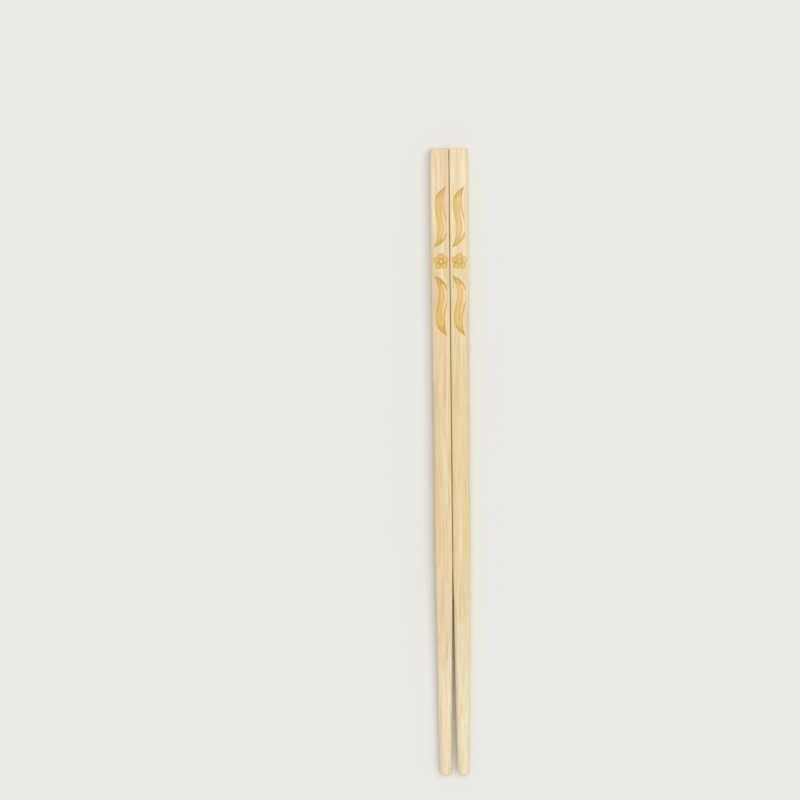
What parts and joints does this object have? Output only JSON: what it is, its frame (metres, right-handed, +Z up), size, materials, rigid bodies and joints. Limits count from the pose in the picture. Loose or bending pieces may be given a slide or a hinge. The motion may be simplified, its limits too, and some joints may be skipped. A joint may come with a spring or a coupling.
{
  "type": "pair of bamboo chopsticks",
  "caption": "Bamboo chopsticks lying side by side, square in the hand and tapering to round tips, with a blossom engraved between two leaves near the handle ends.",
  "frame": {"origin": "on the floor, in the middle of the pair's outline", "axes": "+Y along the sticks from the tips to the handle ends, +X across the pair, +Z up through the engraved faces"},
  "size_m": [0.014, 0.24, 0.0069],
  "materials": {
    "bamboo": "planed and sanded, unvarnished, satin"
  },
  "bodies": {
    "root": {"left_chopstick": "bamboo", "right_chopstick": "bamboo"}
  },
  "joints": []
}
